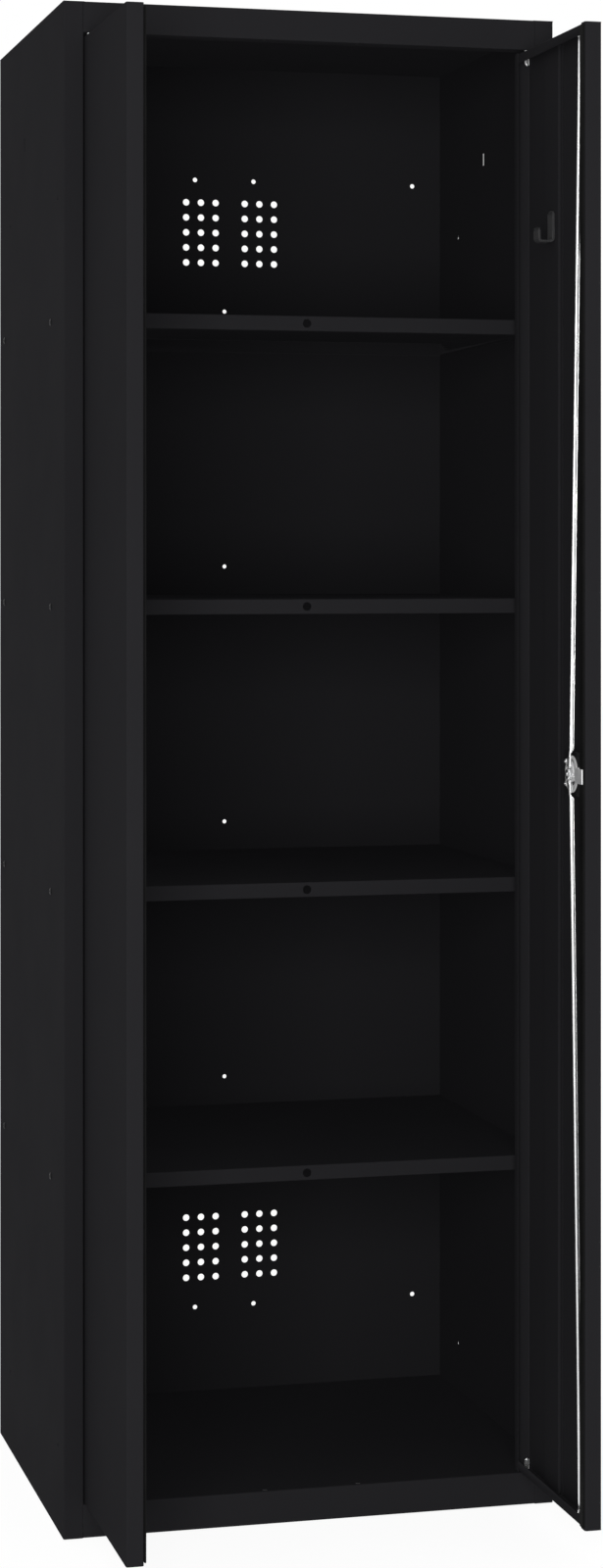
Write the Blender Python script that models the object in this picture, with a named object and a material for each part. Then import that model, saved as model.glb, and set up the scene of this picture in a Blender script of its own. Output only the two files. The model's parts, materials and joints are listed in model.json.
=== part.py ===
"""Steel storage cabinet: two pan doors on pivot pins, four fixed shelves and a three-point rod lock.

Sizes below are in millimetres; meshes are made in metres. +Z is up, the front faces -Y and the
origin is the middle of the base of the whole part, with both doors standing open square.
"""
import math

import bmesh
import bpy
from mathutils import Vector

MM = 0.001

# Carcass
CABINET_W = 600.0
CABINET_D = 500.0
CABINET_H = 1800.0
SHEET = 1.0
BEND = 1.8
FIT = 0.3
STILE_W = 23.5
STILE_DEPTH = 20.0
BACK_FLANGE = 15.0
TOP_RAIL_H = 36.0
PLINTH_H = 39.0
RAIL_LIP = 24.0
PLINTH_LIP = 20.0
TOP_BACK_FLANGE = 20.0

# Back panels, vents, wall fixings and the sight holes over each shelf
BACK_SEAM_X = 8.0
BACK_LAP = 10.0
VENT_D = 9.0
VENT_PITCH = 20.0
VENT_ROWS = 5
VENT_COLUMNS = 3
VENT_FROM_BASE = 229.5
VENT_FROM_TOP = 220.0
WALL_FIX_D = 6.2
WALL_FIX_FROM_MIDDLE = 40.0
WALL_FIX_FROM_SIDE = 40.0
WALL_FIX_FROM_END = 150.0
SIGHT_D = 5.5
SIGHT_RISE = 37.0
SIGHT_FROM_LAP = 0.25

# Side walls' own holes
RAIL_SLOT_W = 5.0
RAIL_SLOT_H = 16.0
RAIL_SLOT_FROM_FRONT = 293.0
RAIL_SLOT_FROM_TOP = 135.5
SPARE_HOLE_D = 5.0
SPARE_HOLE_FROM_FRONT = 41.0
SPARE_HOLE_FROM_BACK = 90.0
SPARE_HOLE_FROM_BASE = 101.0
SPARE_HOLE_FROM_TOP = 227.0

# Shelves and the screws that hold them
SHELF_COUNT = 4
SHELF_FIRST_Z = 418.5
SHELF_PITCH = 340.0
SHELF_SETBACK = 10.0
SHELF_FLANGE = 18.0
SHELF_LIP = 12.0
SHELF_HOLE_D = 10.5
SHELF_SCREW_FROM_FRONT = 60.0
SHELF_SCREW_FROM_BACK = 39.0
SCREW_D = 4.0
SCREW_HEAD_D = 8.0
SCREW_HEAD_H = 1.5
SCREW_LENGTH = 9.0

# Doors and their pivots
DOOR_OPEN = 90.0
DOOR_DEPTH = 20.0
DOOR_LIP = 14.0
DOOR_BEND = 3.0
DOOR_SIDE_GAP = 2.0
DOOR_MEETING_GAP = 3.0
DOOR_TOP_GAP = 5.0
DOOR_BASE_GAP = 2.0
DOOR_END_LIP = 12.0
PIVOT_FROM_EDGE = 6.0
PIVOT_FROM_FACE = 6.0
PIN_D = 6.0
PIN_HEAD_H = 3.0
PIN_REACH = 13.0
BUSH_WALL = 1.7
STRIP_W = 12.0
STRIP_THICK = 2.3
STRIP_SETBACK = 0.5
STRIP_END_GAP = 3.0
STIFFENER_W = 70.0
STIFFENER_H = 3.5
STIFFENER_FOOT = 9.0
STIFFENER_FROM_EDGE = 138.0
STIFFENER_END_GAP = 3.0

# Coat hook on the right door's stiffener
HOOK_W = 20.0
HOOK_THICK = 2.5
HOOK_BEND = 5.0
HOOK_HEIGHT = 37.0
HOOK_TIP = 17.0
HOOK_REACH = 20.0
HOOK_BELOW_TOP = 237.0
HOOK_ALONG_STIFFENER = 31.0

# Three-point lock on the right door
LOCK_Z = 899.0
LOCK_BACKSET = 55.5
CASE_BELOW_RIM = 5.6
CASE_TOWARD_HINGE = 36.0
CASE_HALF_H = 26.0
CASE_SCREW_INSET = 6.0
CASE_SCREW_SPAN = 25.6
CASE_SCREW_D = 3.0
CASE_SCREW_HEAD_D = 6.5
CASE_SCREW_HEAD_H = 2.2
CASE_SCREW_LENGTH = 7.0
ROSE_D = 30.0
ROSE_H = 3.0
ROSE_CHAMFER = 1.5
PLUG_D = 12.0
PLUG_PROUD = 4.0
TAIL_D = 8.0
THREAD_D = 6.0
KEYWAY_W = 2.0
KEYWAY_H = 8.0
KEYWAY_DEPTH = 4.0
NUT_D = 12.0
NUT_H = 4.5
STUD_BEYOND = 1.0
CAM_THICK = 2.0
CAM_RIM = 1.8
CAM_PIN_D = 3.8
CAM_PIN_CLEAR = 0.75
CAM_PIN_BEYOND = 1.2
CAM_TRAVEL = 8.0
CAM_TURN = 90.0
TONGUE_H = 17.0
TONGUE_THICK = 2.0
TONGUE_PROUD = 2.0
TONGUE_PLAY = 0.5
TONGUE_BEND = 3.0
CHEEK_THICK = 3.0
ROD_D = 5.5
ROD_TIP_D = 3.3
ROD_BEND = 2.8
ROD_CRANK_CLEAR = 4.0
ROD_CRANK_RUN = 5.0
ROD_END_DEPTH = 7.3
ROD_TIP_CLEAR = 0.8
ROD_PLAY = 0.5
KEEPER_PLAY = 1.0
GUIDE_WALL = 1.5
GUIDE_H = 8.0

# How finely round shapes are drawn
ROUND_SIDES = 16
HOLE_SIDES = 12
CAM_SIDES = 32
NUT_SIDES = 6
ROD_ROUNDNESS = 3
BEND_STEPS = 3
DOME_STEPS = 3
SLOT_STEPS = 10
SLOT_END_STEPS = 4
SHARP_ANGLE = 35.0
STRAIGHT = 1e-6

# Worked-out places, with Y counted from the cabinet's front plane
HALF_W = CABINET_W / 2
OPENING_HALF = HALF_W - STILE_W
RAIL_HALF = OPENING_HALF - FIT
INNER_HALF = HALF_W - SHEET - FIT
WALL_TOP = CABINET_H - SHEET - FIT
RAIL_Z = CABINET_H - TOP_RAIL_H
BACK_FRONT_PLANE = CABINET_D - SHEET - FIT - 2 * SHEET - FIT
SIGHT_X = BACK_SEAM_X - BACK_LAP / 2 - SIGHT_FROM_LAP - SIGHT_D / 2
SHELF_FRONT_Y = STILE_DEPTH + SHELF_SETBACK
SHELF_BACK_Y = BACK_FRONT_PLANE - FIT
SHELF_SCREW_Y = (SHELF_FRONT_Y + SHELF_SCREW_FROM_FRONT, SHELF_BACK_Y - SHELF_SCREW_FROM_BACK)
SHELF_TOPS = [SHELF_FIRST_Z + SHELF_PITCH * step for step in range(SHELF_COUNT)]

# Worked-out places on the doors; a depth is counted back from a door's outer face
DOOR_BASE = PLINTH_H + DOOR_BASE_GAP
DOOR_TOP = RAIL_Z - DOOR_TOP_GAP
DOOR_W = OPENING_HALF - DOOR_SIDE_GAP - DOOR_MEETING_GAP / 2
PIVOT_X = OPENING_HALF - DOOR_SIDE_GAP - PIVOT_FROM_EDGE
PIVOT_Y = PIVOT_FROM_FACE
FREE_EDGE = DOOR_W - PIVOT_FROM_EDGE
DOOR_REACH = FREE_EDGE + TONGUE_PROUD - PIVOT_Y
FRONT_Y = -(CABINET_D - DOOR_REACH) / 2
PIN_HEAD_D = 2 * (PIVOT_FROM_FACE - BEND)
BUSH_D = PIN_D + 2 * FIT + 2 * BUSH_WALL
STRIP_BACK = DOOR_DEPTH + FIT + STRIP_THICK
LOCK_X = FREE_EDGE - LOCK_BACKSET
KEEPER_X = PIVOT_X - LOCK_X
CASE_BACK = DOOR_DEPTH - CASE_BELOW_RIM
CASE_TOWARD_EDGE = LOCK_BACKSET - max(DOOR_LIP, STRIP_SETBACK + STRIP_W) - TONGUE_PLAY
TONGUE_FRONT = CASE_BACK + FIT
CAM_FRONT = TONGUE_FRONT + TONGUE_THICK + FIT
CAM_BACK = CAM_FRONT + CAM_THICK
CAM_PIN_START = max((NUT_D + ROD_D) / 2, (PLUG_D + CAM_PIN_D) / 2) + CAM_PIN_CLEAR
CAM_D = 2 * (CAM_PIN_START + CAM_TRAVEL + CAM_PIN_D / 2 + FIT + CAM_RIM)
TONGUE_ROOT = PLUG_D / 2 + TONGUE_PLAY
TIP_FRONT = STRIP_BACK + FIT
CRANK_START = CAM_D / 2 + TONGUE_PLAY + TONGUE_BEND / 2
CRANK_END = CRANK_START + abs(TIP_FRONT - TONGUE_FRONT)
ROD_LOCK_DEPTH = (CAM_FRONT + CAM_BACK) / 2
ROD_HOOK_DEPTH = CAM_BACK + FIT + max(ROD_BEND, ROD_D / 2) + ROD_PLAY
ROD_CRANK_FROM_LOCK = CAM_D / 2 + ROD_D / 2 + ROD_CRANK_CLEAR
GUIDE_D = ROD_D + 2 * ROD_PLAY + 2 * GUIDE_WALL


def clear_scene():
    for item in list(bpy.data.objects):
        bpy.data.objects.remove(item, do_unlink=True)


def make_material(name, colour, roughness, metallic):
    material = bpy.data.materials.new(name)
    material.use_nodes = True
    shader = material.node_tree.nodes["Principled BSDF"]
    shader.inputs["Base Color"].default_value = (*colour, 1.0)
    shader.inputs["Roughness"].default_value = roughness
    shader.inputs["Metallic"].default_value = metallic
    return material


def make_empty(name, place, turn_deg, parent):
    empty = bpy.data.objects.new(name, None)
    empty.location = Vector(place) * MM
    empty.rotation_euler[2] = math.radians(turn_deg)
    empty.parent = parent
    bpy.context.collection.objects.link(empty)
    return empty


def turned_by(spoke, turn):
    """A flat vector turned anticlockwise."""
    return Vector((spoke.x * math.cos(turn) - spoke.y * math.sin(turn),
                   spoke.x * math.sin(turn) + spoke.y * math.cos(turn)))


def box(x_range, y_range, z_range):
    """A block as a prism along Z."""
    (x0, x1), (y0, y1) = x_range, y_range
    return ("Z", [(x0, y0), (x1, y0), (x1, y1), (x0, y1)], *z_range)


def disc(axis, centre, diameter, start, end, sides=HOLE_SIDES):
    """A round bar along an axis; centre is given in the other two coordinates."""
    turns = [2 * math.pi * (step + 0.5) / sides for step in range(sides)]
    ring = [(centre[0] + diameter / 2 * math.cos(turn), centre[1] + diameter / 2 * math.sin(turn))
            for turn in turns]
    return (axis, ring, start, end)


def dome(radius, height, base):
    """Profile of a domed head, from its rim to its crown; a negative height domes downwards."""
    turns = [math.pi / 2 * step / DOME_STEPS for step in range(DOME_STEPS)]
    rim = [(radius * math.cos(turn), base + height * math.sin(turn)) for turn in turns]
    return rim + [(0.0, base + height)]


def fold_outline(path, thickness, bend):
    """Outline of a folded sheet: path is one face, the other face lies to its left."""
    points = [Vector(point) for point in path]
    near, far = [], []
    for index, corner in enumerate(points):
        ahead = points[min(index + 1, len(points) - 1)] - points[min(index, len(points) - 2)]
        behind = corner - points[index - 1] if index else ahead
        into, out = behind.normalized(), ahead.normalized()
        left = Vector((-into.y, into.x))
        angle = into.angle(out)
        if angle < STRAIGHT:
            near.append(corner)
            far.append(corner + left * thickness)
            continue
        sign = 1.0 if into.cross(out) > 0 else -1.0
        near_radius = bend if sign > 0 else bend - thickness
        far_radius = bend - thickness if sign > 0 else bend
        centre = corner - into * near_radius * math.tan(angle / 2) + left * sign * near_radius
        for step in range(BEND_STEPS + 1):
            spoke = turned_by(-left * sign, sign * angle * step / BEND_STEPS)
            near.append(centre + spoke * near_radius)
            far.append(centre + spoke * far_radius)
    return [tuple(point) for point in near + far[::-1]]


def add_prism(mesh, axis, outline, start, end):
    """Extrude an outline along X, Y or Z; the outline holds the other two coordinates in order."""
    place = {"X": lambda u, v, w: (w, u, v),
             "Y": lambda u, v, w: (u, w, v),
             "Z": lambda u, v, w: (u, v, w)}[axis]
    rings = [[mesh.verts.new(Vector(place(u, v, level)) * MM) for u, v in outline]
             for level in (start, end)]
    mesh.faces.new(rings[0])
    mesh.faces.new(rings[1])
    for index in range(len(outline)):
        follow = (index + 1) % len(outline)
        mesh.faces.new((rings[0][index], rings[0][follow], rings[1][follow], rings[1][index]))


def link_mesh(name, mesh, material, parent):
    bmesh.ops.recalc_face_normals(mesh, faces=mesh.faces)
    data = bpy.data.meshes.new(name)
    mesh.to_mesh(data)
    mesh.free()
    if material:
        data.materials.append(material)
    piece = bpy.data.objects.new(name, data)
    piece.parent = parent
    bpy.context.collection.objects.link(piece)
    return piece


def prism_object(name, prisms, material, parent):
    mesh = bmesh.new()
    for prism in prisms:
        add_prism(mesh, *prism)
    return link_mesh(name, mesh, material, parent)


def combine(piece, prisms, operation):
    """Join prisms to a piece, or cut them out of it, through one hidden helper mesh."""
    helper = prism_object(f"{piece.name}_{operation.lower()}", prisms, None, piece.parent)
    helper.hide_render = True
    helper.display_type = "WIRE"
    modifier = piece.modifiers.new(operation.title(), "BOOLEAN")
    modifier.operation = operation
    modifier.solver = "EXACT"
    modifier.object = helper


def make_piece(name, base, material, parent, add=(), cut=()):
    piece = prism_object(name, [base], material, parent)
    if add:
        combine(piece, add, "UNION")
    if cut:
        combine(piece, cut, "DIFFERENCE")
    return piece


def make_turned(name, axis, place, profile, material, parent, sides=ROUND_SIDES):
    """Turn a (radius, height) profile round an axis through place; heights run along +axis.

    A profile that starts and ends on the axis is solid; any other is a closed ring.
    """
    layout = {"X": lambda r, a, h: (h, r * math.cos(a), r * math.sin(a)),
              "Y": lambda r, a, h: (r * math.cos(a), h, r * math.sin(a)),
              "Z": lambda r, a, h: (r * math.cos(a), r * math.sin(a), h)}[axis]
    mesh = bmesh.new()
    rings = []
    for radius, height in profile:
        turns = [2 * math.pi * step / sides for step in range(sides if radius else 1)]
        rings.append([mesh.verts.new((Vector(layout(radius, turn, height)) + Vector(place)) * MM)
                      for turn in turns])
    pairs = list(zip(rings, rings[1:]))
    if len(rings[0]) > 1:
        pairs.append((rings[-1], rings[0]))
    for low, high in pairs:
        for step in range(sides):
            follow = (step + 1) % sides
            corners = [low[step % len(low)], low[follow % len(low)],
                       high[follow % len(high)], high[step % len(high)]]
            mesh.faces.new(dict.fromkeys(corners))
    piece = link_mesh(name, mesh, material, parent)
    piece.data.shade_smooth()
    piece.data.set_sharp_from_angle(angle=math.radians(SHARP_ANGLE))
    return piece


def make_wall(name, side, material, parent):
    """A side wall with its stile folded in at the front and a narrow flange at the back."""
    back_edge = HALF_W - BACK_FLANGE
    path = [(side * OPENING_HALF, STILE_DEPTH), (side * OPENING_HALF, 0.0), (side * HALF_W, 0.0),
            (side * HALF_W, CABINET_D), (side * back_edge, CABINET_D)]
    if side < 0:
        path.reverse()
    skin = sorted((side * (HALF_W + SHEET), side * (HALF_W - 2 * SHEET)))
    holes = [disc("X", (y, top - SHELF_FLANGE / 2), SCREW_D + 2 * FIT, *skin)
             for y in SHELF_SCREW_Y for top in SHELF_TOPS]
    holes += [disc("X", (y, z), SPARE_HOLE_D, *skin)
              for y in (SPARE_HOLE_FROM_FRONT, CABINET_D - SPARE_HOLE_FROM_BACK)
              for z in (SPARE_HOLE_FROM_BASE, CABINET_H - SPARE_HOLE_FROM_TOP)]
    slot_z = CABINET_H - RAIL_SLOT_FROM_TOP
    holes.append(box(skin,
                     (RAIL_SLOT_FROM_FRONT - RAIL_SLOT_W / 2, RAIL_SLOT_FROM_FRONT + RAIL_SLOT_W / 2),
                     (slot_z - RAIL_SLOT_H / 2, slot_z + RAIL_SLOT_H / 2)))
    sheet = ("Z", fold_outline(path, SHEET, BEND), 0.0, WALL_TOP)
    make_piece(name, sheet, material, parent, cut=holes)


def make_back(name, side, material, parent):
    """One half of the back; the left half laps in front of the right half at the seam."""
    front = BACK_FRONT_PLANE if side < 0 else BACK_FRONT_PLANE + SHEET + FIT
    width = sorted((side * INNER_HALF, BACK_SEAM_X - side * BACK_LAP / 2))
    through = (front - SHEET, front + 2 * SHEET)
    holes = [disc("Y", (BACK_SEAM_X + side * VENT_PITCH * column, middle + VENT_PITCH * row),
                  VENT_D, *through)
             for middle in (VENT_FROM_BASE, CABINET_H - VENT_FROM_TOP)
             for column in range(1, VENT_COLUMNS + 1)
             for row in range(-(VENT_ROWS // 2), VENT_ROWS // 2 + 1)]
    holes += [disc("Y", (side * x, z), WALL_FIX_D, *through)
              for x in (WALL_FIX_FROM_MIDDLE, HALF_W - WALL_FIX_FROM_SIDE)
              for z in (WALL_FIX_FROM_END, CABINET_H - WALL_FIX_FROM_END)]
    if side < 0:
        holes += [disc("Y", (SIGHT_X, top + SIGHT_RISE), SIGHT_D, *through) for top in SHELF_TOPS]
    plate = box(width, (front, front + SHEET), (SHEET, WALL_TOP - FIT))
    make_piece(name, plate, material, parent, cut=holes)


def front_sheet_holes(level):
    """Pivot pin holes, and keeper holes for a lock on either door, through a flat front sheet."""
    through = (level - SHEET, level + 2 * SHEET)
    holes = []
    for side in (-1, 1):
        holes.append(disc("Z", (side * PIVOT_X, PIVOT_Y), PIN_D + 2 * FIT, *through))
        holes.append(disc("Z", (side * KEEPER_X, ROD_END_DEPTH), ROD_D + 2 * KEEPER_PLAY, *through))
    return holes


def make_top(material, parent):
    """Top panel with its front rail, the rail's folded lip and a short flange at the back."""
    path = [(CABINET_D, CABINET_H - TOP_BACK_FLANGE), (CABINET_D, CABINET_H), (0.0, CABINET_H),
            (0.0, RAIL_Z), (RAIL_LIP, RAIL_Z)]
    profile = ("X", fold_outline(path, SHEET, BEND), -RAIL_HALF, RAIL_HALF)
    wings = [box(sorted((side * (RAIL_HALF - SHEET), side * HALF_W)), (0.0, CABINET_D),
                 (CABINET_H - SHEET, CABINET_H)) for side in (-1, 1)]
    make_piece("top_panel", profile, material, parent, add=wings, cut=front_sheet_holes(RAIL_Z))


def make_floor(material, parent):
    """Floor panel folded down into the plinth, with the plinth's foot lip and a back flange."""
    path = [(SHELF_BACK_Y, 0.0), (SHELF_BACK_Y, PLINTH_H), (0.0, PLINTH_H), (0.0, 0.0),
            (PLINTH_LIP, 0.0)]
    profile = ("X", fold_outline(path, SHEET, BEND), -RAIL_HALF, RAIL_HALF)
    wings = [box(sorted((side * (RAIL_HALF - SHEET), side * INNER_HALF)),
                 (STILE_DEPTH + FIT, SHELF_BACK_Y - BEND), (PLINTH_H - SHEET, PLINTH_H))
             for side in (-1, 1)]
    make_piece("floor_panel", profile, material, parent, add=wings,
               cut=front_sheet_holes(PLINTH_H - SHEET))


def make_shelf(number, top, material, parent):
    """A shelf pan, flanged down all round, with a lip under its front edge."""
    base = top - SHELF_FLANGE
    path = [(SHELF_BACK_Y, base), (SHELF_BACK_Y, top), (SHELF_FRONT_Y, top), (SHELF_FRONT_Y, base),
            (SHELF_FRONT_Y + SHELF_LIP, base)]
    profile = ("X", fold_outline(path, SHEET, BEND), -INNER_HALF, INNER_HALF)
    inside = (SHELF_FRONT_Y + SHEET / 2, SHELF_BACK_Y - SHEET / 2)
    ends = [box(sorted((side * INNER_HALF, side * (INNER_HALF - SHEET))), inside,
                (base + BEND, top - SHEET / 2)) for side in (-1, 1)]
    middle = top - SHELF_FLANGE / 2
    holes = [disc("Y", (0.0, middle), SHELF_HOLE_D, SHELF_FRONT_Y - SHEET, SHELF_FRONT_Y + 2 * SHEET,
                  ROUND_SIDES)]
    for side in (-1, 1):
        reach = sorted((side * (INNER_HALF + SHEET), side * (INNER_HALF - 2 * SHEET)))
        holes += [disc("X", (y, middle), SCREW_D + 2 * FIT, *reach) for y in SHELF_SCREW_Y]
    make_piece(f"shelf_{number}", profile, material, parent, add=ends, cut=holes)


def make_shelf_screws(number, top, material, parent):
    """Four low round-headed screws through the side walls into one shelf."""
    shank = SCREW_D / 2
    for side, side_name in ((-1, "left"), (1, "right")):
        seat = side * (HALF_W + FIT)
        tip = side * (HALF_W + FIT - SCREW_LENGTH)
        profile = [(0.0, tip), (shank, tip), (shank, seat)]
        profile += dome(SCREW_HEAD_D / 2, side * SCREW_HEAD_H, seat)
        for y, end_name in zip(SHELF_SCREW_Y, ("front", "back")):
            make_turned(f"shelf_{number}_screw_{side_name}_{end_name}", "X",
                        (0.0, y, top - SHELF_FLANGE / 2), profile, material, parent, sides=HOLE_SIDES)


def make_hinge_pins(side, side_name, zinc, parent):
    """Headed pivot pins in the rail lip and the floor, and the bush that carries the door."""
    radius, head = PIN_D / 2, PIN_HEAD_D / 2
    axis_place = (side * PIVOT_X, PIVOT_Y, 0.0)
    seat = RAIL_Z + SHEET + FIT
    tip = DOOR_TOP - SHEET - PIN_REACH
    make_turned(f"{side_name}_top_pin", "Z", axis_place,
                [(0.0, tip), (radius, tip), (radius, seat), (head, seat), (head, seat + PIN_HEAD_H),
                 (0.0, seat + PIN_HEAD_H)], zinc, parent)
    seat = PLINTH_H - SHEET - FIT
    tip = DOOR_BASE + SHEET + PIN_REACH
    make_turned(f"{side_name}_bottom_pin", "Z", axis_place,
                [(0.0, seat - PIN_HEAD_H), (head, seat - PIN_HEAD_H), (head, seat), (radius, seat),
                 (radius, tip), (0.0, tip)], zinc, parent)
    bore = radius + FIT
    low, high = PLINTH_H + FIT, DOOR_BASE - FIT
    make_turned(f"{side_name}_hinge_bush", "Z", axis_place,
                [(bore, low), (BUSH_D / 2, low), (BUSH_D / 2, high), (bore, high)], zinc, parent)


def depth_to_local(depth):
    """Door pieces are placed by depth behind the outer face; the pivot is at local Y 0."""
    return depth - PIVOT_FROM_FACE


def make_door(side, side_name, material, pivot):
    """A pan door drawn closed about its pivot; it runs along local -side from the pivot."""
    hinge, free = side * PIVOT_FROM_EDGE, -side * FREE_EDGE
    face, rear = depth_to_local(0.0), depth_to_local(DOOR_DEPTH)
    path = [(hinge - side * DOOR_LIP, rear), (hinge, rear), (hinge, face), (free, face), (free, rear),
            (free + side * DOOR_LIP, rear)]
    if side > 0:
        path.reverse()
    span = sorted((hinge - side * SHEET / 2, free + side * SHEET / 2))
    root, fold = face + SHEET / 2, rear - BEND
    flanges = ([(root, DOOR_BASE), (fold, DOOR_BASE), (fold, DOOR_BASE + DOOR_END_LIP)],
               [(fold, DOOR_TOP - DOOR_END_LIP), (fold, DOOR_TOP), (root, DOOR_TOP)])
    ends = [("X", fold_outline(flange, SHEET, BEND), *span) for flange in flanges]
    holes = []
    for level in (DOOR_BASE, DOOR_TOP - SHEET):
        through = (level - SHEET, level + 2 * SHEET)
        holes.append(disc("Z", (0.0, 0.0), PIN_D + 2 * FIT, *through))
        if side > 0:
            holes.append(disc("Z", (-LOCK_X, depth_to_local(ROD_END_DEPTH)), ROD_D + 2 * ROD_PLAY,
                              *through))
    if side > 0:
        holes.append(disc("Y", (-LOCK_X, LOCK_Z), PLUG_D + 2 * FIT, face - SHEET, face + 2 * SHEET,
                          ROUND_SIDES))
    skin = ("Z", fold_outline(path, SHEET, DOOR_BEND), DOOR_BASE, DOOR_TOP)
    make_piece(f"{side_name}_door", skin, material, pivot, add=ends, cut=holes)


def make_door_strip(side, side_name, rubber, pivot):
    """The closing strip behind a door's free edge."""
    edge = -side * (FREE_EDGE - STRIP_SETBACK)
    strip = box(sorted((edge, edge + side * STRIP_W)),
                (depth_to_local(DOOR_DEPTH + FIT), depth_to_local(STRIP_BACK)),
                (DOOR_BASE + STRIP_END_GAP, DOOR_TOP - STRIP_END_GAP))
    make_piece(f"{side_name}_door_strip", strip, rubber, pivot)


def make_stiffener(side, side_name, steel, pivot):
    """A hat-shaped stiffener behind a door's face."""
    start = -side * (FREE_EDGE - STIFFENER_FROM_EDGE)
    base, crown = depth_to_local(SHEET + FIT), depth_to_local(FIT + STIFFENER_H)
    far_foot = STIFFENER_W - STIFFENER_FOOT
    steps = (0.0, STIFFENER_FOOT, STIFFENER_FOOT, far_foot, far_foot, STIFFENER_W)
    levels = (base, base, crown, crown, base, base)
    path = [(start + side * step, level) for step, level in zip(steps, levels)]
    if side < 0:
        path.reverse()
    hat = ("Z", fold_outline(path, SHEET, SHEET + FIT), DOOR_BASE + STIFFENER_END_GAP,
           DOOR_TOP - STIFFENER_END_GAP)
    make_piece(f"{side_name}_door_stiffener", hat, steel, pivot)


def make_hook(material, pivot):
    """A J-shaped hook bent from strip, standing on the right door's stiffener."""
    near = depth_to_local(SHEET + FIT + STIFFENER_H + FIT)
    base = DOOR_TOP - HOOK_BELOW_TOP
    path = [(near, base + HOOK_HEIGHT), (near, base), (near + HOOK_REACH, base),
            (near + HOOK_REACH, base + HOOK_TIP)]
    middle = STIFFENER_FROM_EDGE + HOOK_ALONG_STIFFENER - FREE_EDGE
    strip = ("X", fold_outline(path, HOOK_THICK, HOOK_BEND), middle - HOOK_W / 2, middle + HOOK_W / 2)
    make_piece("door_hook", strip, material, pivot)


def make_lock_case(cast, zinc, pivot):
    """Lock case behind the door face, with a cheek on either side of the tongue, and its two screws."""
    hinge_end = CASE_TOWARD_HINGE - LOCK_X
    edge_end = -LOCK_X - CASE_TOWARD_EDGE
    back = depth_to_local(CASE_BACK)
    base = box((edge_end, hinge_end), (depth_to_local(SHEET + FIT), back),
               (LOCK_Z - CASE_HALF_H, LOCK_Z + CASE_HALF_H))
    inner = TONGUE_H / 2 + FIT
    outer = inner + CHEEK_THICK
    along = (edge_end, -LOCK_X - TONGUE_ROOT)
    rise = (back - SHEET, depth_to_local(TONGUE_FRONT + TONGUE_THICK))
    spans = ((LOCK_Z - outer, LOCK_Z - inner), (LOCK_Z + inner, LOCK_Z + outer))
    cheeks = [box(along, rise, span) for span in spans]
    through = (depth_to_local(0.0), depth_to_local(CAM_FRONT))
    holes = [disc("Y", (-LOCK_X, LOCK_Z), PLUG_D + 2 * FIT, *through, ROUND_SIDES)]
    screw_x = hinge_end - CASE_SCREW_INSET
    screw_heights = (LOCK_Z - CASE_SCREW_SPAN / 2, LOCK_Z + CASE_SCREW_SPAN / 2)
    blind = back - CASE_SCREW_LENGTH - SHEET
    holes += [disc("Y", (screw_x, z), CASE_SCREW_D + 2 * FIT, blind, through[1]) for z in screw_heights]
    make_piece("lock_case", base, cast, pivot, add=cheeks, cut=holes)
    shank, seat = CASE_SCREW_D / 2, back + FIT
    profile = [(0.0, seat - CASE_SCREW_LENGTH), (shank, seat - CASE_SCREW_LENGTH), (shank, seat)]
    profile += dome(CASE_SCREW_HEAD_D / 2, CASE_SCREW_HEAD_H, seat)
    for z, name in zip(screw_heights, ("lower", "upper")):
        make_turned(f"lock_case_screw_{name}", "Y", (screw_x, 0.0, z), profile, zinc, pivot,
                    sides=HOLE_SIDES)


def make_lock_rose(zinc, pivot):
    """The round plate round the key plug on the door's outer face."""
    bore, rim = PLUG_D / 2 + FIT, ROSE_D / 2
    seat = depth_to_local(-FIT)
    crown = seat - ROSE_H
    make_turned("lock_rose", "Y", (-LOCK_X, 0.0, LOCK_Z),
                [(bore, seat), (rim, seat), (rim, crown + ROSE_CHAMFER), (rim - ROSE_CHAMFER, crown),
                 (bore, crown)], zinc, pivot)


def spiral_slot(lead_deg):
    """A cam slot: the pin at lead_deg moves out by CAM_TRAVEL while the cam makes its turn."""
    half = CAM_PIN_D / 2 + FIT
    centres = []
    for step in range(SLOT_STEPS + 1):
        share = step / SLOT_STEPS
        turn = math.radians(lead_deg - CAM_TURN * share)
        spoke = Vector((CAM_PIN_START + CAM_TRAVEL * share, 0.0))
        centres.append(turned_by(spoke, turn))
    left, right = [], []
    for index, centre in enumerate(centres):
        along = (centres[min(index + 1, SLOT_STEPS)] - centres[max(index - 1, 0)]).normalized()
        across = Vector((-along.y, along.x)) * half
        left.append(centre + across)
        right.append(centre - across)
    turns = [-math.pi * step / SLOT_END_STEPS for step in range(1, SLOT_END_STEPS)]
    far_end = [centres[-1] + turned_by(left[-1] - centres[-1], turn) for turn in turns]
    near_end = [centres[0] + turned_by(right[0] - centres[0], turn) for turn in turns]
    return [tuple(point) for point in left + far_end + right[::-1] + near_end]


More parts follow.
